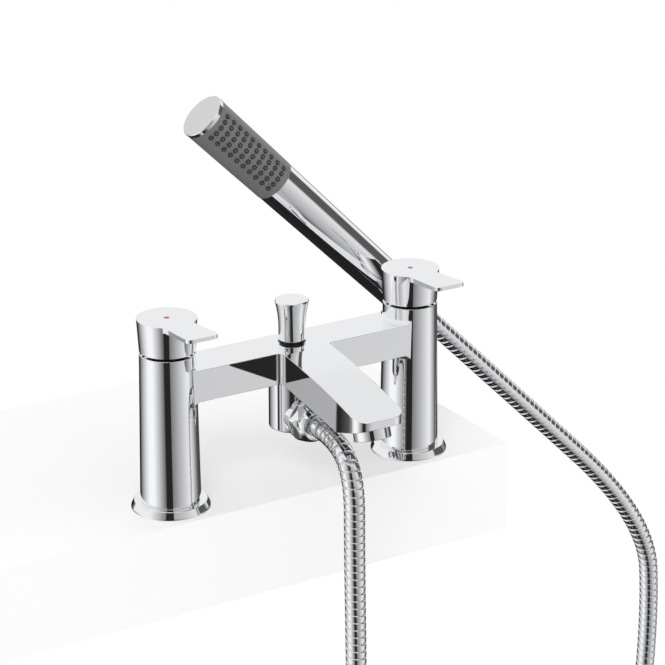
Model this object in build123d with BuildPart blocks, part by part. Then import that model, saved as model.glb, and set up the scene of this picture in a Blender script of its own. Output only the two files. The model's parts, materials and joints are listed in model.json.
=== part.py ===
from build123d import *
from math import cos, pi, radians, sin, tan
import os

# Bath shower mixer: two pillars on a deck, a cast bridge with a flat spout, a pull-up
# diverter under the bridge, a ribbed hose and a stick handset in a holder behind the cold pillar.
# Origin: on the deck, midway between the pillars. +X runs from hot to cold, -Y to the bather.

# Gaps, in mm
seam_gap = 0.02
thread_gap = 0.05
running_gap = 0.05
free_gap = 0.35
overrun = 2.0

# Layout
pillar_spacing = 180.0

# Tails, flanges and what clamps the deck
tail_bore_r = 8.5
shank_r = 13.22
tail_end_r = 12.9
spigot_r = 12.2
spigot_height = 14.0
deck_depth = 26.0
tail_depth = 58.0
flange_foot_r = 25.2
flange_rim_r = 23.2
flange_height = 5.0
seal_outer_r = 21.5
seal_inner_r = 14.5
seal_t = 2.0
backnut_across = 35.0
backnut_t = 8.0
backnut_drop = 2.0
shank_stand = 1.0

# Pillars
pillar_foot_r = 19.4
pillar_top_r = 17.8
pillar_top_z = 103.8
pillar_edge = 0.5
chamber_r = 12.0
waterway_r = 9.0
seat_z = 60.0

# Ceramic cartridges
seat_washer_t = 2.0
seat_washer_inner_r = 5.4
cage_r = 10.6
cage_wall = 2.0
disc_t = 3.0
disc_port_r = 2.0
disc_port_offset = 4.4
cage_height = 24.0
cage_floor_height = 12.0
tang_r = 6.4
spindle_r = 5.0
spline_r = 4.0
neck_r = 9.2
neck_height = 3.6
cage_window_r = 1.8

# Levers
lever_gap = 1.7
lever_bottom_r = 17.75
lever_top_r = 19.0
lever_height = 21.1
lever_edge = 0.5
lever_recess_r = 10.4
lever_recess_depth = 3.4
lever_socket_depth = 15.5
tongue_reach = 48.0
tongue_root = 14.0
tongue_root_half_width = 10.0
tongue_tip_half_width = 11.0
tongue_root_t = 3.4
tongue_tip_t = 2.4
tongue_rise = 2.1
tongue_corner_r = 4.0
dot_r = 1.75
dot_t = 0.8
grub_r = 2.0
grub_length = 8.0
grub_socket_across = 2.0
grub_socket_depth = 3.0
grub_height = 9.5

# Bridge and spout
bridge_bottom_z = 72.4
bridge_top_z = 93.5
bridge_half_depth = 15.5
bridge_flare_r = 3.0
spout_half_width = 17.25
spout_reach = 108.5
spout_flat_reach = 20.0
spout_mid_reach = 60.0
spout_mid_drop = 6.0
spout_tip_top_z = 76.5
spout_root_bottom_reach = 19.6
spout_tip_run = 26.5
spout_kink_z = 62.7
spout_corner_r = 9.0
spout_flare_r = 3.8
inlet_bore_r = 4.0
inlet_bore_z = 77.5
spout_bore_r = 4.0
spout_bore_start_z = 86.8
spout_bore_end_z = 72.2

# Aerator, square to the rising facet under the spout's tip
aerator_tilt = 18.0
aerator_setback = 14.0
aerator_r = 11.75
aerator_stand = 7.0
aerator_wall = 1.8
aerator_thread_r = 10.3
aerator_depth = 6.0
aerator_lip = 1.2
aerator_washer_t = 1.2
aerator_insert_t = 9.0
aerator_nozzle_r = 1.5
aerator_nozzle_ring_r = 5.0
aerator_nozzles = 6

# Diverter
diverter_r = 15.25
diverter_bottom_z = 35.5
diverter_edge_r = 1.2
diverter_spigot_r = 9.0
diverter_spigot_height = 2.6
upper_chamber_r = 8.0
shower_seat_z = 66.0
shower_seat_r = 5.5
shower_seat_t = 4.0
lower_chamber_r = 11.0
plug_t = 3.1
plug_recess = 0.4
stem_r = 3.0
stem_foot_z = 43.5
stem_nut_r = 9.2
stem_nut_t = 2.5
valve_washer_r = 7.6
valve_washer_t = 2.0
spout_washer_z = 70.5
spring_outer_r = 8.6
spring_wall = 1.4
gland_bottom_z = 82.0
gland_seat_t = 1.5
gland_chamber_r = 6.5
gland_chamber_top_z = 90.0
gland_collar_r = 7.5
gland_collar_t = 1.4
knob_bottom_z = 95.2
knob_stem_depth = 15.0
knob_waist_r = 8.6
knob_waist_height = 6.0
knob_flare_r = 9.15
knob_flare_height = 16.5
knob_top_r = 10.9
knob_rim_height = 25.4
knob_height = 26.6
knob_rim_r = 10.1
knob_dish_r = 8.2
knob_dish_depth = 0.6

# Shower outlet, its nut and ferrule, measured along the outlet's own axis
outlet_z = 45.0
outlet_boss_r = 12.2
outlet_boss_reach = 16.0
outlet_bore_r = 6.0
nipple_root = 12.0
nipple_spigot_r = 9.0
nipple_thread_r = 10.3
nipple_reach = 25.0
hose_washer_t = 1.8
hose_washer_inner_r = 6.3
hose_washer_outer_r = 9.6
hose_nut_across = 24.0
hose_nut_collar_r = 13.4
hose_nut_collar_t = 1.9
hose_nut_front = 30.6
hose_nut_shoulder = 2.2
hose_nut_recess_r = 8.6
hose_nut_recess_depth = 0.8
ferrule_flange_r = 9.7
ferrule_flange_t = 1.6
ferrule_r = 6.9
ferrule_bore_r = 4.6
ferrule_reach = 39.0
ferrule_grip = 7.0

# Hose
hose_r = 6.7
hose_end_r = 6.0
hose_bore_r = 4.2
hose_last_run = 85.0
bend_share = 0.45

# Handset: its axis starts at the middle of the end cap and runs down to the hose
cap_x, cap_y, cap_z = -35.6, 50.0, 236.0
handset_incline = 44.8
handset_yaw = 5.3
handset_head_r = 15.6
handset_taper = 2.35
handset_length = 197.0
end_cap_r = 15.0
end_cap_t = 1.0
end_cap_spigot_r = 11.4
end_cap_spigot_t = 3.0
rim_start = 0.25
rim_bevel = 0.55
rim_end = 3.2
rim_skirt_r = 12.9
rim_skirt_end = 7.0
sleeve_start = 3.25
sleeve_end = 70.0
sleeve_step = 0.25
nozzle_rows = 5
nozzles_per_row = 10
nozzle_first = 8.3
nozzle_pitch = 6.13
nozzle_row_angle = 16.5
nozzle_field_angle = 3.5
nozzle_r = 1.7
nozzle_stand = 0.8
nozzle_sides = 8
tube_wall = 1.6
tube_skirt_length = 6.0
connector_length = 11.0
connector_thread_length = 10.5
connector_bore_r = 5.8
water_tube_r = 7.2
water_tube_start = 60.0
water_tube_socket = 5.0

# Conical nut at the hose's handset end, and the holder's socket
cone_gap = 0.5
cone_top_r = 12.6
cone_bottom_r = 9.6
cone_length = 30.5
cone_thread_depth = 13.6
cone_body_r = 8.6
cone_shoulder = 4.0
cone_ferrule_flange_r = 8.5
cone_hose_washer_outer_r = 8.3
cone_ferrule_reach = 9.9
socket_gap = 6.0
socket_length = 12.0
socket_r = 14.8
socket_slot = 14.6
arm_r = 4.5
arm_drop = 5.0
arm_foot_r = 7.5
arm_foot_t = 2.5
holder_stud_r = 2.5
holder_stud_grip = 4.5

# Worked out from the sizes above
side_x = pillar_spacing / 2
spigot_top_z = flange_height + spigot_height
shank_depth = deck_depth + backnut_drop + backnut_t + shank_stand
disc_floor_z = seat_z + seat_washer_t
moving_disc_z = disc_floor_z + disc_t + running_gap
lever_bottom_z = pillar_top_z + lever_gap
lever_top_z = lever_bottom_z + lever_height
shaft_top_z = lever_bottom_z + lever_recess_depth
spline_top_z = shaft_top_z + lever_socket_depth - lever_recess_depth
tilt = radians(aerator_tilt)
slope = tan(tilt)
spout_kink_reach = spout_reach - spout_tip_run
aerator_reach = spout_reach - aerator_setback
spout_tip_bottom_z = spout_kink_z + (spout_reach - spout_kink_reach) * slope
aerator_z = spout_kink_z + (aerator_reach - spout_kink_reach) * slope
cone_start = handset_length + cone_gap
socket_start = handset_length + socket_gap
cone_end = cone_start + cone_length
cone_shoulder_start = cone_end - cone_shoulder
cone_flange_start = cone_shoulder_start - ferrule_flange_t
cone_grip_end = cone_end + cone_ferrule_reach - cone_shoulder
cone_grip_start = cone_grip_end - ferrule_grip

# Planes whose own Y axis is the axis that a turned piece is turned about
hot_plane = Plane(origin=(-side_x, 0, 0), x_dir=(1, 0, 0), z_dir=(0, -1, 0))
cold_plane = Plane(origin=(side_x, 0, 0), x_dir=(1, 0, 0), z_dir=(0, -1, 0))
middle_plane = Plane.XZ
outlet_plane = Plane(origin=(0, 0, outlet_z), x_dir=(1, 0, 0), z_dir=(0, 0, -1))
aerator_plane = Plane(
    origin=(0, -aerator_reach, aerator_z), x_dir=(1, 0, 0), z_dir=(0, cos(tilt), -sin(tilt))
)
cap_centre = Vector(cap_x, cap_y, cap_z)
incline, yaw = radians(handset_incline), radians(handset_yaw)
handset_way = Vector(cos(incline) * cos(yaw), -cos(incline) * sin(yaw), -sin(incline))
handset_front = Vector(-sin(yaw), -cos(yaw), 0)
handset_plane = Plane(
    origin=cap_centre, x_dir=handset_front, z_dir=handset_front.cross(handset_way)
)


def turn(plane, points, mode=Mode.ADD):
    """Revolve the closed outline of (radius, height) points about the plane's own Y axis."""
    with BuildSketch(plane) as outline:
        with BuildLine():
            Polyline(*points, close=True)
        make_face()
    revolve(outline.sketch, axis=Axis(plane.origin, plane.y_dir), mode=mode)


def bore(plane, r, depth, both=False):
    """Cut a round hole along the plane's normal."""
    with BuildSketch(plane) as mouth:
        Circle(r)
    extrude(mouth.sketch, amount=depth, both=both, mode=Mode.SUBTRACT)


def ring(plane, inner_r, outer_r, start, end):
    turn(plane, [(inner_r, start), (outer_r, start), (outer_r, end), (inner_r, end)])


def keep(builder, name):
    builder.part.label = name
    export_step(builder.part, "parts/" + name + ".step")


def pillar_r(z):
    """Outer radius of a pillar at a height: a straight taper from flange to top."""
    share = (z - flange_height) / (pillar_top_z - flange_height)
    return pillar_foot_r + (pillar_top_r - pillar_foot_r) * share


def handset_r(s):
    """Outer radius of the handset at a distance from its cap."""
    return handset_head_r - handset_taper * s / handset_length


def cone_r(s):
    """Outer radius of the conical nut at a distance from the handset's cap."""
    return cone_top_r + (cone_bottom_r - cone_top_r) * (s - cone_start) / cone_length


os.makedirs("parts", exist_ok=True)

# Holder arm: it leaves the cold pillar squarely, level with the middle of the socket
socket_centre = cap_centre + handset_way * (socket_start + socket_length / 2)
arm_root = Vector(side_x, 0, socket_centre.Z - arm_drop)
arm_way = Vector(socket_centre.X - side_x, socket_centre.Y, 0).normalized()
arm_plane = Plane(origin=arm_root, z_dir=arm_way)
arm_length = arm_way.dot(socket_centre - arm_root)
arm_pillar_r = pillar_r(arm_root.Z)

# Each side's pieces, hot then cold
for side, plane in (("hot", hot_plane), ("cold", cold_plane)):
    x = plane.origin.X
    inward = (-x / side_x, 0, 0)

    with BuildPart() as pillar:
        turn(
            plane,
            [
                (spigot_r + thread_gap, flange_height),
                (pillar_r(flange_height), flange_height),
                (pillar_r(pillar_top_z - pillar_edge), pillar_top_z - pillar_edge),
                (pillar_r(pillar_top_z) - pillar_edge, pillar_top_z),
                (chamber_r, pillar_top_z),
                (chamber_r, seat_z),
                (waterway_r, seat_z),
                (waterway_r, spigot_top_z),
                (spigot_r + thread_gap, spigot_top_z),
            ],
        )
        bore(Plane(origin=(x, 0, inlet_bore_z), z_dir=inward), inlet_bore_r, pillar_foot_r + overrun)
        if side == "cold":
            bore(
                arm_plane.offset(arm_pillar_r - holder_stud_grip),
                holder_stud_r + thread_gap,
                holder_stud_grip + overrun,
            )
    keep(pillar, side + "_pillar")

    with BuildPart() as flange:
        turn(
            plane,
            [
                (spigot_r + thread_gap, flange_height),
                (flange_rim_r, flange_height),
                (flange_foot_r, 0),
                (seal_outer_r + thread_gap, 0),
                (seal_outer_r + thread_gap, seal_t),
                (spigot_r + thread_gap, seal_t),
            ],
        )
    keep(flange, side + "_flange")

    with BuildPart() as seal:
        ring(plane, seal_inner_r, seal_outer_r, 0, seal_t)
    keep(seal, side + "_sealing_washer")

    with BuildPart() as tail:
        turn(
            plane,
            [
                (tail_bore_r, spigot_top_z),
                (spigot_r, spigot_top_z),
                (spigot_r, seal_t),
                (shank_r, seal_t),
                (shank_r, -shank_depth),
                (tail_end_r, -shank_depth),
                (tail_end_r, -tail_depth),
                (tail_bore_r, -tail_depth),
            ],
        )
    keep(tail, side + "_tail")

    with BuildPart() as backnut:
        with BuildSketch(Plane(origin=(x, 0, -deck_depth - backnut_drop))):
            RegularPolygon(backnut_across / 2, 6, major_radius=False)
            Circle(shank_r + thread_gap, mode=Mode.SUBTRACT)
        extrude(amount=-backnut_t)
    keep(backnut, side + "_backnut")

    # The cartridge: its cage screws into the pillar and stands up as the dark neck
    with BuildPart() as cartridge:
        turn(
            plane,
            [
                (cage_r - cage_wall, disc_floor_z),
                (cage_r, disc_floor_z),
                (cage_r, disc_floor_z + cage_height),
                (chamber_r - thread_gap, disc_floor_z + cage_height),
                (chamber_r - thread_gap, pillar_top_z),
                (neck_r, pillar_top_z),
                (neck_r, pillar_top_z + neck_height),
                (spindle_r + running_gap, pillar_top_z + neck_height),
                (spindle_r + running_gap, disc_floor_z + cage_floor_height),
                (cage_r - cage_wall, disc_floor_z + cage_floor_height),
            ],
        )
        window_z = moving_disc_z + disc_t + cage_window_r
        bore(Plane(origin=(x, 0, window_z), z_dir=(0, 1, 0)), cage_window_r, cage_r + overrun, both=True)
    keep(cartridge, side + "_cartridge")

    with BuildPart() as seat_washer:
        ring(plane, seat_washer_inner_r, cage_r, seat_z, disc_floor_z)
    keep(seat_washer, side + "_seat_washer")

    # Two ports in each disc, a quarter turn apart while the tap is shut
    with BuildPart() as fixed_disc:
        with BuildSketch(Plane(origin=(x, 0, disc_floor_z))):
            Circle(cage_r - cage_wall - thread_gap)
            with Locations((-disc_port_offset, 0), (disc_port_offset, 0)):
                Circle(disc_port_r, mode=Mode.SUBTRACT)
        extrude(amount=disc_t)
    keep(fixed_disc, side + "_fixed_disc")

    with BuildPart() as moving_disc:
        with BuildSketch(Plane(origin=(x, 0, moving_disc_z))):
            Circle(cage_r - cage_wall - running_gap)
            with Locations((0, -disc_port_offset), (0, disc_port_offset)):
                Circle(disc_port_r, mode=Mode.SUBTRACT)
        extrude(amount=disc_t)
    keep(moving_disc, side + "_moving_disc")

    with BuildPart() as spindle:
        tang_bottom_z = moving_disc_z + disc_t
        tang_top_z = disc_floor_z + cage_floor_height - free_gap
        turn(
            plane,
            [
                (0, tang_bottom_z),
                (tang_r, tang_bottom_z),
                (tang_r, tang_top_z),
                (spindle_r, tang_top_z),
                (spindle_r, shaft_top_z),
                (spline_r, shaft_top_z),
                (spline_r, spline_top_z),
                (0, spline_top_z),
            ],
        )
    keep(spindle, side + "_spindle")

    # The lever: a thick tapered disc with a thin tongue that runs forward and rises a little
    with BuildPart() as lever:
        with BuildSketch(Plane.YZ.offset(x)):
            with BuildLine():
                Polyline(
                    (-tongue_root, lever_top_z),
                    (-tongue_reach, lever_top_z + tongue_rise),
                    (-tongue_reach, lever_top_z + tongue_rise - tongue_tip_t),
                    (-tongue_root, lever_top_z - tongue_root_t),
                    (0, lever_top_z - tongue_root_t),
                    (0, lever_top_z),
                    close=True,
                )
            make_face()
        extrude(amount=tongue_tip_half_width + overrun, both=True)
        with BuildSketch(Plane(origin=(x, 0, lever_bottom_z))):
            with BuildLine():
                Polyline(
                    (-tongue_root_half_width, 0),
                    (-tongue_root_half_width, -tongue_root),
                    (-tongue_tip_half_width, -tongue_reach),
                    (tongue_tip_half_width, -tongue_reach),
                    (tongue_root_half_width, -tongue_root),
                    (tongue_root_half_width, 0),
                    close=True,
                )
            tongue = make_face()
            fillet(tongue.vertices().sort_by(Axis.Y)[:2], tongue_corner_r)
        extrude(amount=lever_height + tongue_rise + overrun, mode=Mode.INTERSECT)
        turn(
            plane,
            [
                (0, lever_bottom_z),
                (lever_bottom_r, lever_bottom_z),
                (lever_top_r, lever_top_z - lever_edge),
                (lever_top_r - lever_edge, lever_top_z),
                (0, lever_top_z),
            ],
        )
        turn(
            plane,
            [
                (0, lever_bottom_z - overrun),
                (lever_recess_r, lever_bottom_z - overrun),
                (lever_recess_r, shaft_top_z),
                (spline_r + thread_gap, shaft_top_z),
                (spline_r + thread_gap, spline_top_z),
                (0, spline_top_z),
            ],
            mode=Mode.SUBTRACT,
        )
        bore(Plane(origin=(x, 0, lever_top_z - dot_t)), dot_r + thread_gap, dot_t + overrun)
        bore(
            Plane(origin=(x, 0, lever_bottom_z + grub_height), z_dir=(0, 1, 0)),
            grub_r + thread_gap,
            lever_top_r + overrun,
        )
    keep(lever, side + "_lever")

    with BuildPart() as dot:
        with BuildSketch(Plane(origin=(x, 0, lever_top_z - dot_t))):
            Circle(dot_r)
        extrude(amount=dot_t + thread_gap)
    keep(dot, side + "_dot")

    with BuildPart() as grub_screw:
        grub_seat = (x, spline_r + thread_gap, lever_bottom_z + grub_height)
        with BuildSketch(Plane(origin=grub_seat, z_dir=(0, 1, 0))):
            Circle(grub_r)
        extrude(amount=grub_length)
        with BuildSketch(Plane(grub_screw.faces().sort_by(Axis.Y)[-1])):
            RegularPolygon(grub_socket_across / 2, 6, major_radius=False)
        extrude(amount=-grub_socket_depth, mode=Mode.SUBTRACT)
    keep(grub_screw, side + "_grub_screw")

# Bridge and spout, one casting whose ends flare onto the pillars
with BuildPart() as pillar_forms:
    for plane in (hot_plane, cold_plane):
        foot_z, head_z = flange_height, pillar_top_z
        turn(plane, [(0, foot_z), (pillar_r(foot_z), foot_z), (pillar_r(head_z), head_z), (0, head_z)])

with BuildPart() as bridge:
    with BuildSketch(Plane.YZ):
        with Locations((0, (bridge_bottom_z + bridge_top_z) / 2)):
            Rectangle(bridge_half_depth * 2, bridge_top_z - bridge_bottom_z)
    extrude(amount=side_x, both=True)
    add(pillar_forms.part)
    flares = bridge.edges().filter_by(
        lambda e: side_x - pillar_foot_r - overrun < abs(e.center().X) < side_x
        and bridge_bottom_z - seam_gap < e.center().Z < bridge_top_z + seam_gap
    )
    fillet(flares, bridge_flare_r)
    with BuildSketch(Plane.YZ):
        with BuildLine():
            flat_end = (-spout_flat_reach, bridge_top_z)
            tip_top = (-spout_reach, spout_tip_top_z)
            Line((0, bridge_top_z), flat_end)
            ThreePointArc(flat_end, (-spout_mid_reach, bridge_top_z - spout_mid_drop), tip_top)
            Polyline(
                tip_top,
                (-spout_reach, spout_tip_bottom_z),
                (-spout_kink_reach, spout_kink_z),
                (-spout_root_bottom_reach, bridge_bottom_z),
                (0, bridge_bottom_z),
                (0, bridge_top_z),
            )
        make_face()
    extrude(amount=spout_half_width, both=True)
    upright_edges = bridge.edges().filter_by(Axis.Z)
    fillet(upright_edges.group_by(Axis.Y)[0], spout_corner_r)
    inside_corners = bridge.edges().filter_by(Axis.Z).filter_by(
        lambda e: abs(abs(e.center().X) - spout_half_width) < seam_gap
        and abs(e.center().Y + bridge_half_depth) < seam_gap
    )
    fillet(inside_corners, spout_flare_r)
    for plane in (hot_plane, cold_plane):
        turn(
            plane,
            [
                (0, 0),
                (pillar_foot_r + seam_gap + overrun, 0),
                (pillar_foot_r + seam_gap + overrun, flange_height),
                (pillar_r(flange_height) + seam_gap, flange_height),
                (pillar_r(pillar_top_z) + seam_gap, pillar_top_z),
                (pillar_r(pillar_top_z) + seam_gap, pillar_top_z + overrun),
                (0, pillar_top_z + overrun),
            ],
            mode=Mode.SUBTRACT,
        )
    turn(
        middle_plane,
        [
            (0, bridge_bottom_z - overrun),
            (diverter_spigot_r, bridge_bottom_z - overrun),
            (diverter_spigot_r, bridge_top_z + overrun),
            (0, bridge_top_z + overrun),
        ],
        mode=Mode.SUBTRACT,
    )
    bore(Plane(origin=(0, 0, inlet_bore_z), z_dir=(1, 0, 0)), inlet_bore_r, side_x, both=True)
    spout_bore_run = Vector(0, -aerator_reach, spout_bore_end_z - spout_bore_start_z)
    bore(Plane(origin=(0, 0, spout_bore_start_z), z_dir=spout_bore_run), spout_bore_r, spout_bore_run.length)
    bore(
        Plane(origin=aerator_plane.origin, z_dir=aerator_plane.y_dir * -1),
        aerator_thread_r + thread_gap,
        aerator_depth,
    )
keep(bridge, "bridge_and_spout")

# Aerator: housing screwed into the spout, with a sprayer insert on a washer
with BuildPart() as aerator_housing:
    insert_r = aerator_thread_r - aerator_wall
    lip_r = insert_r - aerator_lip
    turn(
        aerator_plane,
        [
            (insert_r, -aerator_depth + aerator_washer_t),
            (aerator_thread_r, -aerator_depth + aerator_washer_t),
            (aerator_thread_r, 0),
            (aerator_r, 0),
            (aerator_r, aerator_stand),
            (lip_r, aerator_stand),
            (lip_r, aerator_stand - aerator_lip),
            (insert_r, aerator_stand - aerator_lip),
        ],
    )
keep(aerator_housing, "aerator_housing")

with BuildPart() as aerator_insert:
    insert_end = aerator_stand - aerator_lip
    with BuildSketch(Plane(origin=aerator_plane.origin, z_dir=aerator_plane.y_dir).offset(insert_end)):
        Circle(insert_r - thread_gap)
        with PolarLocations(aerator_nozzle_ring_r, aerator_nozzles):
            Circle(aerator_nozzle_r, mode=Mode.SUBTRACT)
    extrude(amount=-aerator_insert_t)
keep(aerator_insert, "aerator_insert")

with BuildPart() as aerator_washer:
    ring(aerator_plane, lip_r, aerator_thread_r, -aerator_depth, -aerator_depth + aerator_washer_t)
keep(aerator_washer, "aerator_washer")

# Diverter body, screwed up into the bridge, with the shower outlet's boss in front
with BuildPart() as diverter_body:
    turn(
        middle_plane,
        [
            (0, diverter_bottom_z),
            (diverter_r, diverter_bottom_z),
            (diverter_r, bridge_bottom_z),
            (diverter_spigot_r - thread_gap, bridge_bottom_z),
            (diverter_spigot_r - thread_gap, bridge_bottom_z + diverter_spigot_height),
            (0, bridge_bottom_z + diverter_spigot_height),
        ],
    )
    fillet(diverter_body.edges().group_by(Axis.Z)[0], diverter_edge_r)
    with BuildSketch(Plane.XZ):
        with Locations((0, outlet_z)):
            Circle(outlet_boss_r)
    extrude(amount=outlet_boss_reach)
    turn(
        middle_plane,
        [
            (0, diverter_bottom_z - overrun),
            (lower_chamber_r, diverter_bottom_z - overrun),
            (lower_chamber_r, shower_seat_z - shower_seat_t),
            (shower_seat_r, shower_seat_z - shower_seat_t),
            (shower_seat_r, shower_seat_z),
            (upper_chamber_r, shower_seat_z),
            (upper_chamber_r, bridge_bottom_z + diverter_spigot_height + overrun),
            (0, bridge_bottom_z + diverter_spigot_height + overrun),
        ],
        mode=Mode.SUBTRACT,
    )
    bore(Plane(origin=(0, 0, outlet_z), z_dir=(0, -1, 0)), nipple_spigot_r, outlet_boss_reach + overrun)
keep(diverter_body, "diverter_body")

with BuildPart() as plug:
    plug_bottom_z = diverter_bottom_z + plug_recess
    with BuildSketch(Plane.XY.offset(plug_bottom_z)):
        Circle(lower_chamber_r - thread_gap)
    extrude(amount=plug_t - plug_recess)
keep(plug, "diverter_plug")

with BuildPart() as gland:
    turn(
        middle_plane,
        [
            (shower_seat_r, gland_bottom_z),
            (diverter_spigot_r - thread_gap, gland_bottom_z),
            (diverter_spigot_r - thread_gap, bridge_top_z),
            (gland_collar_r, bridge_top_z),
            (gland_collar_r, bridge_top_z + gland_collar_t),
            (stem_r + running_gap, bridge_top_z + gland_collar_t),
            (stem_r + running_gap, gland_chamber_top_z),
            (gland_chamber_r, gland_chamber_top_z),
            (gland_chamber_r, gland_bottom_z + gland_seat_t),
            (shower_seat_r, gland_bottom_z + gland_seat_t),
        ],
    )
    bore(Plane(origin=(0, 0, spout_bore_start_z), z_dir=(0, -1, 0)), gland_seat_t * 2, diverter_r)
keep(gland, "diverter_gland")

with BuildPart() as stem:
    with BuildSketch(Plane.XY.offset(stem_foot_z)):
        Circle(stem_r)
    extrude(amount=knob_bottom_z + knob_stem_depth - stem_foot_z)
keep(stem, "diverter_stem")

with BuildPart() as stem_nut:
    ring(middle_plane, stem_r + thread_gap, stem_nut_r, stem_foot_z, stem_foot_z + stem_nut_t)
keep(stem_nut, "stem_nut")

for washer_name, washer_z in (("shower_washer", shower_seat_z + free_gap), ("spout_washer", spout_washer_z)):
    with BuildPart() as valve_washer:
        ring(middle_plane, stem_r + thread_gap, valve_washer_r, washer_z, washer_z + valve_washer_t)
    keep(valve_washer, washer_name)

with BuildPart() as spring:
    spring_bottom_z = stem_foot_z + stem_nut_t
    spring_top_z = shower_seat_z - shower_seat_t
    ring(middle_plane, spring_outer_r - spring_wall, spring_outer_r, spring_bottom_z, spring_top_z)
keep(spring, "diverter_spring")

# Knob: a straight waist that flares in one hollow curve to a dished top
with BuildPart() as knob:
    with BuildSketch(middle_plane) as knob_outline:
        with BuildLine():
            waist_top = (knob_waist_r, knob_bottom_z + knob_waist_height)
            rim_bottom = (knob_top_r, knob_bottom_z + knob_rim_height)
            Line((0, knob_bottom_z), (knob_waist_r, knob_bottom_z))
            Line((knob_waist_r, knob_bottom_z), waist_top)
            ThreePointArc(waist_top, (knob_flare_r, knob_bottom_z + knob_flare_height), rim_bottom)
            Polyline(
                rim_bottom,
                (knob_rim_r, knob_bottom_z + knob_height),
                (knob_dish_r, knob_bottom_z + knob_height - knob_dish_depth),
                (0, knob_bottom_z + knob_height - knob_dish_depth),
                (0, knob_bottom_z),
            )
        make_face()
    revolve(axis=Axis.Z)
    bore(Plane.XY.offset(knob_bottom_z), stem_r + thread_gap, knob_stem_depth)
keep(knob, "diverter_knob")

# Shower outlet and the hose's first end, along the outlet's axis
with BuildPart() as nipple:
    turn(
        outlet_plane,
        [
            (outlet_bore_r, nipple_root),
            (nipple_spigot_r - thread_gap, nipple_root),
            (nipple_spigot_r - thread_gap, outlet_boss_reach),
            (nipple_thread_r, outlet_boss_reach),
            (nipple_thread_r, nipple_reach),
            (outlet_bore_r, nipple_reach),
        ],
    )
keep(nipple, "outlet_nipple")

with BuildPart() as outlet_washer:
    ring(outlet_plane, hose_washer_inner_r, hose_washer_outer_r, nipple_reach, nipple_reach + hose_washer_t)
keep(outlet_washer, "outlet_washer")

with BuildPart() as outlet_nut:
    nut_back = outlet_boss_reach + free_gap
    nut_collar_front = nut_back + hose_nut_collar_t
    nut_front_plane = Plane(origin=(0, -nut_collar_front, outlet_z), z_dir=(0, -1, 0))
    with BuildSketch(nut_front_plane):
        RegularPolygon(hose_nut_across / 2, 6, major_radius=False, rotation=30)
    extrude(amount=hose_nut_front - nut_collar_front)
    turn(
        outlet_plane,
        [
            (0, nut_back),
            (hose_nut_collar_r, nut_back),
            (hose_nut_collar_r, nut_collar_front),
            (0, nut_collar_front),
        ],
    )
    turn(
        outlet_plane,
        [
            (0, nut_back - overrun),
            (nipple_thread_r + thread_gap, nut_back - overrun),
            (nipple_thread_r + thread_gap, hose_nut_front - hose_nut_shoulder),
            (ferrule_r + free_gap, hose_nut_front - hose_nut_shoulder),
            (ferrule_r + free_gap, hose_nut_front - hose_nut_recess_depth),
            (hose_nut_recess_r, hose_nut_front - hose_nut_recess_depth),
            (hose_nut_recess_r, hose_nut_front + overrun),
            (0, hose_nut_front + overrun),
        ],
        mode=Mode.SUBTRACT,
    )
keep(outlet_nut, "outlet_hose_nut")


def ferrule(plane, flange_r, flange_start, grip_start, end):
    """A flanged tube: the nut pulls its flange up, and its mouth grips the hose's plain end."""
    turn(
        plane,
        [
            (ferrule_bore_r, flange_start),
            (flange_r, flange_start),
            (flange_r, flange_start + ferrule_flange_t),
            (ferrule_r, flange_start + ferrule_flange_t),
            (ferrule_r, end),
            (hose_end_r + thread_gap, end),
            (hose_end_r + thread_gap, grip_start),
            (ferrule_bore_r, grip_start),
        ],
    )


with BuildPart() as outlet_ferrule:
    ferrule(
        outlet_plane,
        ferrule_flange_r,
        nipple_reach + hose_washer_t,
        ferrule_reach - ferrule_grip,
        ferrule_reach,
    )
keep(outlet_ferrule, "outlet_ferrule")

# Conical nut, washer and ferrule at the hose's other end
with BuildPart() as cone_nut:
    turn(
        handset_plane,
        [
            (nipple_thread_r + running_gap, cone_start),
            (cone_top_r, cone_start),
            (cone_bottom_r, cone_end),
            (ferrule_r + free_gap, cone_end),
            (ferrule_r + free_gap, cone_shoulder_start),
            (cone_body_r, cone_shoulder_start),
            (cone_body_r, cone_start + cone_thread_depth),
            (nipple_thread_r + running_gap, cone_start + cone_thread_depth),
        ],
    )
keep(cone_nut, "cone_nut")

with BuildPart() as cone_washer:
    cone_washer_start = cone_flange_start - hose_washer_t
    ring(handset_plane, ferrule_bore_r, cone_hose_washer_outer_r, cone_washer_start, cone_flange_start)
keep(cone_washer, "cone_washer")

with BuildPart() as cone_ferrule:
    ferrule(handset_plane, cone_ferrule_flange_r, cone_flange_start, cone_grip_start, cone_grip_end)
keep(cone_ferrule, "cone_ferrule")

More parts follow.
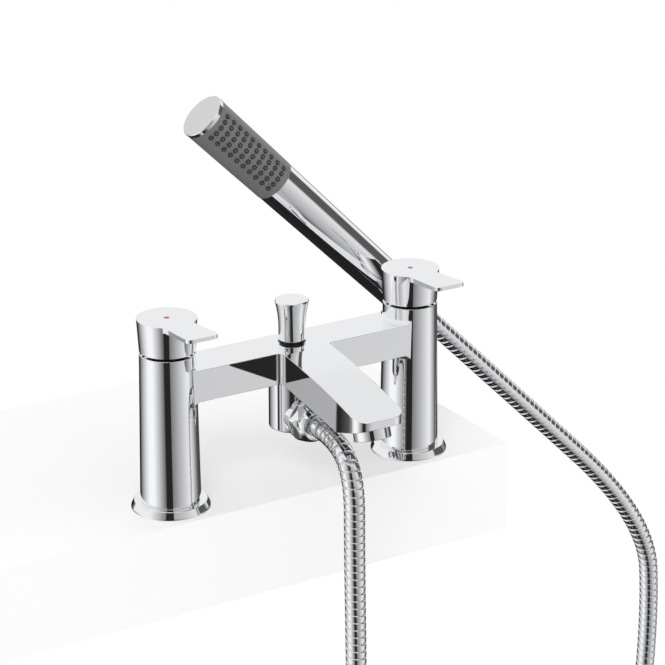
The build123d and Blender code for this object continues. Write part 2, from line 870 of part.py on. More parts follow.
# Holder: a slotted conical socket on an arm from the back of the cold pillar
with BuildPart() as holder:
    with BuildSketch(arm_plane.offset(arm_pillar_r - pillar_edge)):
        Circle(arm_r)
    extrude(amount=arm_length - arm_pillar_r - cone_top_r + pillar_edge)
    with BuildSketch(arm_plane.offset(arm_pillar_r - overrun)):
        Circle(arm_foot_r)
    extrude(amount=arm_foot_t + overrun)
    socket_end = socket_start + socket_length
    turn(
        handset_plane,
        [(0, socket_start), (socket_r, socket_start), (socket_r, socket_end), (0, socket_end)],
    )
    turn(
        handset_plane,
        [
            (0, socket_start - arm_r),
            (cone_r(socket_start - arm_r) + free_gap, socket_start - arm_r),
            (cone_r(socket_end + arm_r) + free_gap, socket_end + arm_r),
            (0, socket_end + arm_r),
        ],
        mode=Mode.SUBTRACT,
    )
    with BuildSketch(Plane(origin=socket_centre, x_dir=handset_way, z_dir=handset_front * -1)):
        Rectangle(socket_length + overrun, socket_slot)
    extrude(amount=socket_r + overrun, mode=Mode.SUBTRACT)
    turn(
        cold_plane,
        [
            (0, flange_height),
            (pillar_r(flange_height) + seam_gap, flange_height),
            (pillar_r(pillar_top_z) + seam_gap, pillar_top_z),
            (0, pillar_top_z),
        ],
        mode=Mode.SUBTRACT,
    )
    bore(
        arm_plane.offset(arm_pillar_r - overrun),
        holder_stud_r + thread_gap,
        overrun + holder_stud_grip,
    )
keep(holder, "holder")

with BuildPart() as holder_stud:
    with BuildSketch(arm_plane.offset(arm_pillar_r - holder_stud_grip)):
        Circle(holder_stud_r)
    extrude(amount=holder_stud_grip * 2)
keep(holder_stud, "holder_stud")

# Handset, from its end cap down to the connector that swivels in the conical nut
with BuildPart() as end_cap:
    turn(
        handset_plane,
        [
            (0, 0),
            (end_cap_r, 0),
            (end_cap_r, end_cap_t),
            (end_cap_spigot_r, end_cap_t),
            (end_cap_spigot_r, end_cap_t + end_cap_spigot_t),
            (0, end_cap_t + end_cap_spigot_t),
        ],
    )
keep(end_cap, "handset_end_cap")

with BuildPart() as rim:
    turn(
        handset_plane,
        [
            (end_cap_r + thread_gap, rim_start),
            (handset_r(0), rim_start + rim_bevel),
            (handset_r(rim_end), rim_end),
            (rim_skirt_r, rim_end),
            (rim_skirt_r, rim_skirt_end),
            (end_cap_spigot_r + thread_gap, rim_skirt_end),
            (end_cap_spigot_r + thread_gap, end_cap_t),
            (end_cap_r + thread_gap, end_cap_t),
        ],
    )
keep(rim, "handset_rim")

# Spray sleeve, with its rows of moulded nozzles
with BuildPart() as sleeve:
    sleeve_bore_r = rim_skirt_r + thread_gap
    turn(
        handset_plane,
        [
            (sleeve_bore_r, sleeve_start),
            (handset_r(sleeve_start), sleeve_start),
            (handset_r(sleeve_end), sleeve_end),
            (sleeve_bore_r, sleeve_end),
        ],
    )
    nozzle_planes = []
    for row in range(nozzle_rows):
        row_angle = nozzle_field_angle + nozzle_row_angle * (row - (nozzle_rows - 1) / 2)
        outward = handset_front.rotate(Axis((0, 0, 0), handset_way), -row_angle)
        for column in range(nozzles_per_row):
            s = nozzle_first + nozzle_pitch * column
            root = cap_centre + handset_way * s + outward * (handset_r(s) - nozzle_stand)
            nozzle_planes.append(Plane(origin=root, x_dir=handset_way, z_dir=outward))
    for nozzle_plane in nozzle_planes:
        with BuildSketch(nozzle_plane):
            RegularPolygon(nozzle_r, nozzle_sides)
        extrude(amount=nozzle_stand * 2)
keep(sleeve, "spray_sleeve")

with BuildPart() as tube:
    skirt_start = sleeve_end - tube_skirt_length
    tube_bore_r = handset_r(handset_length) - sleeve_step - tube_wall
    turn(
        handset_plane,
        [
            (tube_bore_r, skirt_start),
            (sleeve_bore_r - thread_gap, skirt_start),
            (sleeve_bore_r - thread_gap, sleeve_end),
            (handset_r(sleeve_end) - sleeve_step, sleeve_end),
            (handset_r(handset_length) - sleeve_step, handset_length),
            (tube_bore_r, handset_length),
        ],
    )
keep(tube, "handset_tube")

with BuildPart() as connector:
    connector_start = handset_length - connector_length
    turn(
        handset_plane,
        [
            (connector_bore_r, connector_start + water_tube_socket),
            (water_tube_r + thread_gap, connector_start + water_tube_socket),
            (water_tube_r + thread_gap, connector_start),
            (tube_bore_r - thread_gap, connector_start),
            (tube_bore_r - thread_gap, handset_length),
            (nipple_thread_r, handset_length),
            (nipple_thread_r, handset_length + connector_thread_length),
            (connector_bore_r, handset_length + connector_thread_length),
        ],
    )
keep(connector, "handset_connector")

with BuildPart() as water_tube:
    water_tube_end = connector_start + water_tube_socket
    ring(handset_plane, connector_bore_r, water_tube_r, water_tube_start, water_tube_end)
keep(water_tube, "water_tube")

# Hose: out of the outlet, down, round a hanging loop, and up behind the cold pillar
hose_start = Vector(0, -(ferrule_reach - ferrule_grip), outlet_z)
hose_end = cap_centre + handset_way * cone_grip_start
hose_route = [
    hose_start,
    Vector(0, -56, 45),
    Vector(0, -75.6, 25.4),
    Vector(0, -75.9, -22),
    Vector(0, -78.6, -104),
    Vector(1.4, -78.2, -205),
    Vector(6, -77, -318),
    Vector(84, -53.2, -412),
    Vector(216, -13.4, -424),
    Vector(304.5, 13.1, -330),
    Vector(318.4, 17.5, -197),
    Vector(311.0, 18.6, -110.2),
    hose_end + handset_way * hose_last_run,
    hose_end,
]
hose_bends = []
for before, at, after in zip(hose_route, hose_route[1:], hose_route[2:]):
    shorter = min((at - before).length, (after - at).length)
    hose_bends.append(bend_share * shorter / tan(radians((at - before).get_angle(after - at)) / 2))

with BuildLine() as hose_line:
    FilletPolyline(*hose_route, radius=hose_bends)
hose_path = hose_line.wires()[0]


def along_hose(r, mode=Mode.ADD):
    """Sweep a circle down the whole of the hose's path."""
    with BuildSketch(Plane(origin=hose_path @ 0, z_dir=hose_path % 0)) as section:
        Circle(r)
    sweep(section.sketch, path=hose_path, mode=mode)


def thin_end(plane, start):
    """Take the hose down to its plain end, which the ferrule grips."""
    outline = [
        (hose_end_r, start),
        (hose_r + overrun, start),
        (hose_r + overrun, start + ferrule_grip),
        (hose_end_r, start + ferrule_grip),
    ]
    turn(plane, outline, mode=Mode.SUBTRACT)


with BuildPart() as hose:
    along_hose(hose_r)
    thin_end(outlet_plane, ferrule_reach - ferrule_grip)
    thin_end(handset_plane, cone_grip_start)
    along_hose(hose_bore_r, mode=Mode.SUBTRACT)
keep(hose, "shower_hose")

print("hose length", round(hose_path.length, 1))
print("hose bend radii", [round(bend, 1) for bend in hose_bends])
plain_volume = pi * (hose_r**2 - hose_bore_r**2) * hose_path.length
print("hose volume", round(hose.part.volume), "section times length", round(plain_volume))
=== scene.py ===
# %% [markdown]
# # A chromed bath shower mixer
#
# The part comes in as a fixed frame of solids, in metres, with Z up and the deck at z = 0.
# This lesson gives it its finishes, turns its round pieces again with fine edges, winds the
# ribs of its hose, and sets up the white studio in which it was photographed.

# %% Load the frame
import json
from math import asin, atan2, cos, degrees, pi, radians, sin, sqrt, tan

import bmesh
import bpy
from mathutils import Matrix, Vector


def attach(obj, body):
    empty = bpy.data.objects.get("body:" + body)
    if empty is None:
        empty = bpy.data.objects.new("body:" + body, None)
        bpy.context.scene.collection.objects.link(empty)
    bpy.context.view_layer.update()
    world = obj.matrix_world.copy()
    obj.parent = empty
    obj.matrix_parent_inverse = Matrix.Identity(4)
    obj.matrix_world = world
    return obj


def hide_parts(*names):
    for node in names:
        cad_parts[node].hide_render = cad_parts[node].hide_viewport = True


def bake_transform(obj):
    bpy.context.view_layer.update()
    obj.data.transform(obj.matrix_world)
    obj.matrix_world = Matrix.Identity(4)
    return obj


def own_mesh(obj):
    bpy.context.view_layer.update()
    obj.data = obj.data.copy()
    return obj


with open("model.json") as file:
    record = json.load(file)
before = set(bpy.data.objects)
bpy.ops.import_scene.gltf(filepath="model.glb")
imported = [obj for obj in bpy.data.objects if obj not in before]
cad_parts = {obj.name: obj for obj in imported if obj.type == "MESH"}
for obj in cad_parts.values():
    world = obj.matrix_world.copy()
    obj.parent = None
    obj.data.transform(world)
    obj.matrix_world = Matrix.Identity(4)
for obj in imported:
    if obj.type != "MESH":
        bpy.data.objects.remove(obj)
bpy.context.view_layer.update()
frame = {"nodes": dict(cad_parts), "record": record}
nodes = frame["nodes"]
mm = 0.001
print("solids loaded:", len(nodes))

# %% [markdown]
# ## Camera
#
# The photograph was taken from the left and above with a long lens, so the two pillars look
# almost parallel. A camera needs a place and three directions: right, up and back. They are
# worked out from one turn about Z and one tilt down, and a small shift lines up the frame.

# %% Camera
view_azimuth, view_elevation = radians(-31.64), radians(20.60)
camera_place = Vector((-808.8, -1361.1, 692.2)) * mm
picture_side = 665
picture_middle = (331.69, 335.27)
focal_share = 2647 / picture_side
film_width = 36.0

toward = Vector(
    (
        -sin(view_azimuth) * cos(view_elevation),
        cos(view_azimuth) * cos(view_elevation),
        -sin(view_elevation),
    )
)
right = toward.cross(Vector((0, 0, 1))).normalized()
up = right.cross(toward)
camera_data = bpy.data.cameras.new("camera")
camera_data.sensor_width = film_width
camera_data.lens = focal_share * film_width
camera_data.shift_x = (picture_side / 2 - picture_middle[0]) / picture_side
camera_data.shift_y = (picture_middle[1] - picture_side / 2) / picture_side
camera = bpy.data.objects.new("camera", camera_data)
bpy.context.scene.collection.objects.link(camera)
turned_to_view = Matrix((right, up, -toward)).transposed().to_4x4()
camera.matrix_world = Matrix.Translation(camera_place) @ turned_to_view
bpy.context.scene.camera = camera
bpy.context.scene.view_settings.view_transform = "Standard"
print("camera looks along", [round(c, 3) for c in toward])


# %% [markdown]
# ## Materials
#
# A finish is a small graph of nodes. `new_material` makes one with its shader and writes plain
# numbers on that shader's sockets. Fine unevenness comes from a noise texture in object
# coordinates, so that it sits on the surface and keeps its real size.

# %% Material helpers
def new_material(name, **sockets):
    material = bpy.data.materials.new(name)
    material.use_nodes = True
    shader = material.node_tree.nodes["Principled BSDF"]
    for socket, value in sockets.items():
        shader.inputs[socket.replace("_", " ")].default_value = value
    material.diffuse_color = shader.inputs["Base Color"].default_value
    return material, material.node_tree.nodes, material.node_tree.links, shader


def grey(level, tint=(1.0, 1.0, 1.0)):
    return (level * tint[0], level * tint[1], level * tint[2], 1.0)


def noise(nodes, links, scale, detail=3.0, stretch=(1, 1, 1)):
    """Noise in object coordinates: `scale` is how many grains fit in a metre."""
    place = nodes.new("ShaderNodeTexCoord")
    mapping = nodes.new("ShaderNodeMapping")
    mapping.inputs["Scale"].default_value = stretch
    texture = nodes.new("ShaderNodeTexNoise")
    texture.inputs["Scale"].default_value = scale
    texture.inputs["Detail"].default_value = detail
    links.new(place.outputs["Object"], mapping.inputs["Vector"])
    links.new(mapping.outputs["Vector"], texture.inputs["Vector"])
    return texture


def vary_roughness(nodes, links, shader, texture, low, high):
    spread = nodes.new("ShaderNodeMapRange")
    spread.inputs["To Min"].default_value = low
    spread.inputs["To Max"].default_value = high
    links.new(texture.outputs["Fac"], spread.inputs["Value"])
    links.new(spread.outputs["Result"], shader.inputs["Roughness"])


def vary_colour(nodes, links, shader, texture, dark, light):
    ramp = nodes.new("ShaderNodeValToRGB")
    ramp.color_ramp.elements[0].position, ramp.color_ramp.elements[0].color = 0.3, dark
    ramp.color_ramp.elements[1].position, ramp.color_ramp.elements[1].color = 0.7, light
    links.new(texture.outputs["Fac"], ramp.inputs["Fac"])
    links.new(ramp.outputs["Color"], shader.inputs["Base Color"])


def raise_grain(nodes, links, shader, texture, height, edge=0.0):
    """Bump `height` metres deep, over edges rounded by `edge` metres."""
    bump = nodes.new("ShaderNodeBump")
    bump.inputs["Strength"].default_value = 1.0
    bump.inputs["Distance"].default_value = height
    links.new(texture.outputs["Fac"], bump.inputs["Height"])
    if edge:
        rounding = nodes.new("ShaderNodeBevel")
        rounding.samples = 4
        rounding.inputs["Radius"].default_value = edge
        links.new(rounding.outputs["Normal"], bump.inputs["Normal"])
    links.new(bump.outputs["Normal"], shader.inputs["Normal"])


# %% [markdown]
# ### Chrome
#
# Chrome plate is a nearly perfect mirror of a slightly cool grey. It has no colour of its own
# to paint: what makes it look real is what it reflects, very faint polishing waves, and a
# thin bright line where each edge is softened by the plating.

# %% Chrome and the other metals
def metal(name, colour, low, high, grain, height, edge=0.0):
    material, nodes, links, shader = new_material(name, Base_Color=colour, Metallic=1.0)
    texture = noise(nodes, links, grain)
    vary_roughness(nodes, links, shader, texture, low, high)
    raise_grain(nodes, links, shader, texture, height, edge)
    return material


cool = (0.985, 0.99, 1.0)
chrome = metal("chrome plate", grey(0.93, cool), 0.025, 0.045, 60, 0.000004, 0.00025)
cast_chrome = metal("cast chrome", grey(0.93, cool), 0.025, 0.045, 60, 0.000004, 0.0006)
hose_chrome = metal("hose strip", grey(0.9, cool), 0.05, 0.09, 300, 0.000003)
brass = metal("turned brass", (0.72, 0.55, 0.26, 1), 0.18, 0.3, 900, 0.000004)
steel = metal("plain steel", grey(0.55), 0.25, 0.38, 700, 0.000004)
print("metals:", [m.name for m in (chrome, cast_chrome, hose_chrome, brass, steel)])


# %% [markdown]
# ### Plastics and rubber
#
# The spray sleeve is a soft, matt, dark grey; the end cap has a fine satin grain and is much
# paler. Both are non-metals, so they show their own colour with a broad, weak sheen.

# %% Plastics and rubber
def moulded(name, dark, light, low, high, grain, height):
    material, nodes, links, shader = new_material(name, Base_Color=light)
    texture = noise(nodes, links, grain, detail=5.0)
    vary_colour(nodes, links, shader, texture, dark, light)
    vary_roughness(nodes, links, shader, texture, low, high)
    raise_grain(nodes, links, shader, texture, height)
    return material


satin_cap = moulded("satin cap", grey(0.66), grey(0.7), 0.42, 0.5, 2500, 0.00001)
spray_grey = moulded("spray sleeve", grey(0.17), grey(0.19), 0.38, 0.46, 2200, 0.00001)
nozzle_grey = moulded("nozzle rubber", grey(0.028), grey(0.036), 0.4, 0.5, 2200, 0.000006)
# painted shade: a near-black finish that stands for the shaded gaps at the necks under the levers and at
# the knob's foot
dark_neck = moulded("neck painted shade", grey(0.012), grey(0.02), 0.3, 0.4, 1800, 0.000006)
rubber = moulded("black rubber", grey(0.02), grey(0.03), 0.55, 0.65, 1500, 0.00001)
pale_plastic = moulded("pale plastic", grey(0.6), grey(0.65), 0.35, 0.45, 1200, 0.00001)
ceramic = moulded("ceramic", (0.8, 0.8, 0.77, 1), (0.85, 0.85, 0.82, 1), 0.1, 0.16, 900, 0.000002)
red_enamel = moulded("red enamel", (0.5, 0.01, 0.01, 1), (0.6, 0.02, 0.02, 1), 0.15, 0.2, 900, 0.000002)
blue_enamel = moulded("blue enamel", (0.01, 0.1, 0.45, 1), (0.02, 0.14, 0.55, 1), 0.15, 0.2, 900, 0.000002)

finish_of_slot = {
    "chrome": chrome,
    "hose_chrome": hose_chrome,
    "brass": brass,
    "steel": steel,
    "rubber": rubber,
    "ceramic": ceramic,
    # the dark_neck slot gets the near-black painted shade finish
    "dark_neck": dark_neck,
    "hot_dot": red_enamel,
    "cold_dot": blue_enamel,
    "pale_plastic": pale_plastic,
    "satin_cap": satin_cap,
    "spray_grey": spray_grey,
}
slot_of_node = {row["node"]: row["material_slot"] for row in frame["record"]["subparts"]}


def dress(obj, slot, finish=None):
    obj.data.materials.clear()
    obj.data.materials.append(finish or finish_of_slot[slot])


def smooth(obj, sharpest=28):
    """Smooth shading, but keep as an edge each fold sharper than this many degrees."""
    obj.data.polygons.foreach_set("use_smooth", [True] * len(obj.data.polygons))
    obj.data.set_sharp_from_angle(angle=radians(sharpest))


under_deck = ("tail", "backnut")
in_handset = ("water_tube", "handset_connector")
for name, obj in nodes.items():
    dress(obj, slot_of_node[name])
    smooth(obj)
    if name == "bridge_and_spout":
        dress(obj, slot_of_node[name], cast_chrome)
    obj.visible_glossy = not name.endswith(under_deck + in_handset)
print("finishes:", len(finish_of_slot))


# %% [markdown]
# ## Turned pieces
#
# Most of this part is turned: a closed outline of radius and height spun about an axis. The
# frame's solids have rather few facets, which chrome shows at once, so the pieces that are
# seen are turned again with 160 steps round. `soften` rounds the outline's corners first,
# because a real edge always catches a little light.

# %% Turning helpers
steps_round = 160


def soften(outline, steps=4):
    """Outline points are (radius, height) or (radius, height, rounding), in millimetres."""
    points = []
    count = len(outline)
    for i, corner in enumerate(outline):
        at = Vector(corner[:2])
        rounding = corner[2] if len(corner) > 2 else 0
        if not rounding:
            points.append(at)
            continue
        before = (Vector(outline[i - 1][:2]) - at).normalized()
        after = (Vector(outline[(i + 1) % count][:2]) - at).normalized()
        half = before.angle(after) / 2
        reach = rounding / tan(half)
        centre = at + (before + after).normalized() * (rounding / sin(half))
        start, end = at + before * reach - centre, at + after * reach - centre
        sweep = start.angle_signed(end)
        for step in range(steps + 1):
            turned_by = Matrix.Rotation(-sweep * step / steps, 2)
            points.append(centre + turned_by @ start)
    return points


def link(name, mesh):
    obj = bpy.data.objects.new(name, mesh)
    bpy.context.scene.collection.objects.link(obj)
    return obj


def turned(name, outline, at, way):
    """Spin a closed outline about the axis that starts at `at` (mm) and runs along `way`."""
    way = Vector(way).normalized()
    across = way.orthogonal().normalized()
    beside = way.cross(across)
    at = Vector(at)
    shape = bmesh.new()
    rings = []
    for r, h in soften(outline):
        centre = at + way * h
        if r < 1e-6:
            rings.append([shape.verts.new(centre * mm)])
            continue
        ring = []
        for step in range(steps_round):
            angle = 2 * pi * step / steps_round
            spoke = across * cos(angle) + beside * sin(angle)
            ring.append(shape.verts.new((centre + spoke * r) * mm))
        rings.append(ring)
    for ring, following in zip(rings, rings[1:] + rings[:1]):
        if len(ring) == 1 and len(following) == 1:
            continue
        for step in range(steps_round):
            after = (step + 1) % steps_round
            if len(ring) == 1:
                corners = (ring[0], following[after], following[step])
            elif len(following) == 1:
                corners = (ring[step], ring[after], following[0])
            else:
                corners = (ring[step], ring[after], following[after], following[step])
            shape.faces.new(corners)
    bmesh.ops.recalc_face_normals(shape, faces=shape.faces)
    mesh = bpy.data.meshes.new(name)
    shape.to_mesh(mesh)
    shape.free()
    return link(name, mesh)


def settle(obj):
    """Bake an object's modifiers into its mesh."""
    bpy.context.view_layer.update()
    evaluated = obj.evaluated_get(bpy.context.evaluated_depsgraph_get())
    mesh = bpy.data.meshes.new_from_object(evaluated)
    obj.modifiers.clear()
    obj.data = mesh
    return obj


def combine(obj, other, operation):
    """Join, cut or intersect one object with another, which is used up."""
    boolean = obj.modifiers.new("combine", "BOOLEAN")
    boolean.operation, boolean.solver, boolean.object = operation, "EXACT", other
    settle(obj)
    bpy.data.objects.remove(other)
    return obj


def soft_edges(obj, width, sharpest=30):
    """Round every edge that folds by more than `sharpest` degrees, `width` mm each way."""
    bevel = obj.modifiers.new("edges", "BEVEL")
    bevel.width, bevel.segments, bevel.limit_method = width * mm, 3, "ANGLE"
    bevel.angle_limit = radians(sharpest)
    bevel.harden_normals = True
    return settle(obj)


def even_flats(obj):
    """Let the large faces decide the shading, so that flats beside a soft edge stay flat."""
    weights = obj.modifiers.new("flats", "WEIGHTED_NORMAL")
    weights.keep_sharp = True
    weights.weight = 100
    return settle(obj)


def place(obj, body, slot, *replaced, finish=None, sharpest=28):
    dress(obj, slot, finish)
    smooth(obj, sharpest)
    even_flats(obj)
    if replaced:
        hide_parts(*replaced)
    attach(obj, body)
    return obj


# %% [markdown]
# ## Pillars, flanges and handles
#
# Each pillar is a slow taper, wider at its foot, that stands on a conical flange. The lever is
# a thick disc, turned like the rest, whose flat top runs out into a thin tongue. The tongue is
# cut from a plate in plan, where small hollows lead from the disc into its two sides.

# %% Pillars and flanges
side_x = 90.0
flange_height, pillar_top = 5.0, 103.8
foot_r, head_r = 19.4, 17.8
straight_up = (0, 0, 1)

for side, x in (("hot", -side_x), ("cold", side_x)):
    pillar = turned(
        side + "_pillar_turned",
        [
            (12.25, flange_height),
            (foot_r, flange_height, 0.25),
            (head_r, pillar_top, 0.5),
            (12.0, pillar_top),
            (12.0, 60.0),
            (9.0, 60.0),
            (9.0, 19.0),
            (12.25, 19.0),
        ],
        (x, 0, 0),
        straight_up,
    )
    place(pillar, "mixer", "chrome", side + "_pillar")
    flange = turned(
        side + "_flange_turned",
        [
            (12.25, flange_height),
            (23.2, flange_height, 0.45),
            (25.2, 0.9, 0.4),
            (25.2, 0.0, 0.1),
            (21.55, 0.0),
            (21.55, 2.0),
            (12.25, 2.0),
        ],
        (x, 0, 0),
        straight_up,
    )
    place(flange, "mixer", "chrome", side + "_flange")
print("pillars taper from", foot_r, "to", head_r, "mm")

# %% Levers
lever_bottom, lever_top = 105.5, 126.6
lever_bottom_r, lever_top_r = 17.75, 19.0
tongue_reach, tongue_rise = 48.0, 2.1
tongue_root_half, tongue_tip_half = 10.0, 11.0
tongue_root_thick, tongue_tip_thick = 3.4, 2.4
tongue_corner, tongue_hollow = 4.0, 2.6
recess_r, recess_depth = 10.4, 3.4


def arc(centre, radius, start, end, steps):
    """Points on an arc from one angle to another, in degrees."""
    angles = [radians(start + (end - start) * step / steps) for step in range(steps + 1)]
    return [(centre[0] + radius * cos(a), centre[1] + radius * sin(a)) for a in angles]


def disc_r(z):
    """Radius of the lever's disc at a height."""
    share = (z - lever_bottom) / (lever_top - lever_bottom)
    return lever_bottom_r + (lever_top_r - lever_bottom_r) * share


hollow_x = tongue_root_half + 0.2 + tongue_hollow
hollow_y = -sqrt((lever_top_r + tongue_hollow) ** 2 - hollow_x**2)
root_angle = degrees(atan2(hollow_y, hollow_x))
under_root = lever_top - tongue_root_thick


def tongue_heights(y):
    """Bottom and top of the tongue at a distance forward: level to its root, then rising."""
    share = max(0.0, (y - hollow_y) / (-tongue_reach - hollow_y))
    top = lever_top + tongue_rise * share
    return top - tongue_root_thick - (tongue_tip_thick - tongue_root_thick) * share, top


def tongue_side():
    """The tongue's right side in plan: the hollow at its root, its edge and its tip corner."""
    touch = degrees(atan2(-hollow_y, -hollow_x))
    corner = (tongue_tip_half - tongue_corner, -tongue_reach + tongue_corner)
    return arc((hollow_x, hollow_y), tongue_hollow, touch, 180, 8), arc(corner, tongue_corner, 0, -90, 12)


def lever_mesh(name, x):
    shape = bmesh.new()

    def at(px, py, z):
        return shape.verts.new(Vector((x + px, py, z)) * mm)

    # Round the disc in columns: top, the tongue's underside, bottom, recess mouth, recess roof
    angles = [root_angle + (360 - 2 * (90 + root_angle)) * k / 120 for k in range(121)]
    front = [-180 - root_angle + (180 + 2 * root_angle) * k / 48 for k in range(49)]
    recess_z = lever_bottom + recess_depth
    columns = []
    for degree in angles + [a + 360 for a in front[1:-1]]:
        spoke = cos(radians(degree)), sin(radians(degree))
        heights = (lever_top, under_root, lever_bottom)
        levels = [(disc_r(z) * spoke[0], disc_r(z) * spoke[1], z) for z in heights]
        levels += [(recess_r * spoke[0], recess_r * spoke[1], z) for z in (lever_bottom, recess_z)]
        columns.append(levels)
    back_count = len(angles)
    grid = []
    for i, levels in enumerate(columns):
        in_front = i >= back_count
        grid.append([None if in_front and k == 0 else at(*level) for k, level in enumerate(levels)])
    count = len(grid)
    for i in range(count):
        j = (i + 1) % count
        for k in range(4):
            quad = (grid[i][k], grid[j][k], grid[j][k + 1], grid[i][k + 1])
            if k == 0 and (i >= back_count - 1):
                continue
            shape.faces.new(quad)
    shape.faces.new([column[4] for column in grid])

    # The tongue's two sides, as pairs of top and bottom points from root to tip
    hollow, corner = tongue_side()
    sides = []
    for sign, root in ((1, grid[0]), (-1, grid[back_count - 1])):
        pairs = [(root[0], root[1])]
        for px, py in hollow[1:] + corner:
            low, high = tongue_heights(py)
            pairs.append((at(sign * px, py, high), at(sign * px, py, low)))
        sides.append(pairs)
    right_side, left_side = sides
    outline = left_side + right_side[::-1]
    for (top_a, low_a), (top_b, low_b) in zip(outline, outline[1:]):
        shape.faces.new((top_a, top_b, low_b, low_a))
    split = len(hollow)
    back_tops = [column[0] for column in grid[:back_count]]
    left_tops, right_tops = [p[0] for p in left_side], [p[0] for p in right_side]
    left_lows, right_lows = [p[1] for p in left_side], [p[1] for p in right_side]
    shape.faces.new(back_tops + left_tops[1:split] + right_tops[1:split][::-1])
    shape.faces.new(left_tops[split - 1 :] + right_tops[split - 1 :][::-1])
    front_edge = [grid[back_count - 1][1]] + [column[1] for column in grid[back_count:]] + [grid[0][1]]
    shape.faces.new(left_lows[1:split][::-1] + front_edge + right_lows[1:split])
    shape.faces.new(left_lows[split - 1 :] + right_lows[split - 1 :][::-1])
    bmesh.ops.recalc_face_normals(shape, faces=shape.faces)
    mesh = bpy.data.meshes.new(name)
    shape.to_mesh(mesh)
    open_edges = sum(1 for edge in shape.edges if len(edge.link_faces) != 2)
    shape.free()
    print(name, "open edges:", open_edges)
    return link(name, mesh)


for side, x in (("hot", -side_x), ("cold", side_x)):
    lever = lever_mesh(side + "_lever_shaped", x)
    soft_edges(lever, 0.3, 40)
    place(lever, side + "_handle", "chrome", side + "_lever", sharpest=35)
print("lever tongue rises", tongue_rise, "mm")

# %% [markdown]
# ## Diverter, outlet and aerator
#
# The pull-up knob flares in one hollow curve to a dished top. Below the bridge a round body
# carries the shower outlet, where a hexagonal nut with chamfered corners holds the hose.

# %% Knob
knob_bottom = 95.2
waist, flare, rim = (8.6, 6.0), (9.15, 16.5), (10.9, 25.4)


def curve_through(a, b, c, steps):
    """Points of the circle through three points, from the first to the last."""
    (ax, ay), (bx, by), (cx, cy) = a, b, c
    d = 2 * (ax * (by - cy) + bx * (cy - ay) + cx * (ay - by))
    a2, b2, c2 = ax**2 + ay**2, bx**2 + by**2, cx**2 + cy**2
    middle = Vector(
        (
            (a2 * (by - cy) + b2 * (cy - ay) + c2 * (ay - by)) / d,
            (a2 * (cx - bx) + b2 * (ax - cx) + c2 * (bx - ax)) / d,
        )
    )
    start, end = Vector(a) - middle, Vector(c) - middle
    sweep = start.angle_signed(end)
    return [tuple(middle + Matrix.Rotation(-sweep * s / steps, 2) @ start) for s in range(steps + 1)]


knob_side = curve_through(waist, flare, rim, 24)
knob = turned(
    "diverter_knob_turned",
    [(0, 0), (8.6, 0, 0.25)]
    + knob_side[:-1]
    + [(10.9, 25.4, 0.3), (10.3, 26.6, 0.35), (0, 26.6)],
    (0, 0, knob_bottom),
    straight_up,
)
place(knob, "diverter", "chrome", "diverter_knob")
print("knob curve points:", len(knob_side))

# %% Diverter body and its plug
diverter = turned(
    "diverter_body_turned",
    [
        (0, 35.5),
        (15.25, 35.5, 1.2),
        (15.25, 72.4),
        (8.95, 72.4),
        (8.95, 75.0),
        (0, 75.0),
    ],
    (0, 0, 0),
    straight_up,
)
boss = turned("boss", [(0, 0), (12.2, 0), (12.2, 16.0), (0, 16.0)], (0, 0, 45.0), (0, -1, 0))
combine(diverter, boss, "UNION")
place(diverter, "mixer", "chrome", "diverter_body", "diverter_plug")
print("diverter body corners:", len(diverter.data.vertices))

# %% Hose nut: a hexagon whose corners a cone has taken off
nut_back, nut_collar, nut_front = 16.35, 18.25, 30.6
nut_across = 24.0
nut_turn = 49.5
forward = (0, -1, 0)
outlet_z = 45.0
outlet_at = (0, 0, outlet_z)

shape = bmesh.new()
corner_r = nut_across / 2 / cos(radians(30))
rings = []
for y in (-nut_collar + 0.5, -nut_front):
    turns = [radians(60 * i + nut_turn) for i in range(6)]
    corners = [(corner_r * cos(a), corner_r * sin(a)) for a in turns]
    rings.append([shape.verts.new(Vector((cx, y, outlet_z + cz)) * mm) for cx, cz in corners])
for i in range(6):
    j = (i + 1) % 6
    shape.faces.new((rings[0][i], rings[0][j], rings[1][j], rings[1][i]))
shape.faces.new(rings[0])
shape.faces.new(list(reversed(rings[1])))
bmesh.ops.recalc_face_normals(shape, faces=shape.faces)
mesh = bpy.data.meshes.new("outlet_hose_nut_cut")
shape.to_mesh(mesh)
shape.free()
nut = link("outlet_hose_nut_cut", mesh)
nut_turning = turned(
    "nut_turning",
    [
        (0, nut_collar - 0.4),
        (corner_r + 1, nut_collar - 0.4),
        (corner_r + 1, nut_collar + 0.6),
        (11.3, nut_front - 2.0),
        (9.5, nut_front),
        (0, nut_front),
    ],
    outlet_at,
    forward,
)
combine(nut, nut_turning, "INTERSECT")
nut_collar_ring = turned(
    "nut_collar",
    [(0, nut_back), (13.4, nut_back, 0.4), (13.4, nut_collar, 0.4), (0, nut_collar)],
    outlet_at,
    forward,
)
combine(nut, nut_collar_ring, "UNION")
nut_bore = turned(
    "nut_bore",
    [
        (0, nut_back - 2),
        (10.35, nut_back - 2),
        (10.35, nut_front - 2.2),
        (7.25, nut_front - 2.2),
        (7.25, nut_front - 0.8),
        (8.6, nut_front - 0.8),
        (8.6, nut_front + 2),
        (0, nut_front + 2),
    ],
    outlet_at,
    forward,
)
combine(nut, nut_bore, "DIFFERENCE")
soft_edges(nut, 0.2, 30)
place(nut, "mixer", "chrome", "outlet_hose_nut")
print("nut corners:", len(nut.data.vertices))


# %% Ferrules
def ferrule(name, at, way, flange_r, start, grip, end):
    return turned(
        name,
        [
            (4.6, start),
            (flange_r, start, 0.2),
            (flange_r, start + 1.6, 0.2),
            (6.9, start + 1.6, 0.3),
            (6.9, end - 1.4),
            (7.0, end - 1.0, 0.2),
            (7.0, end, 0.3),
            (6.05, end),
            (6.05, grip),
            (4.6, grip),
        ],
        at,
        way,
    )


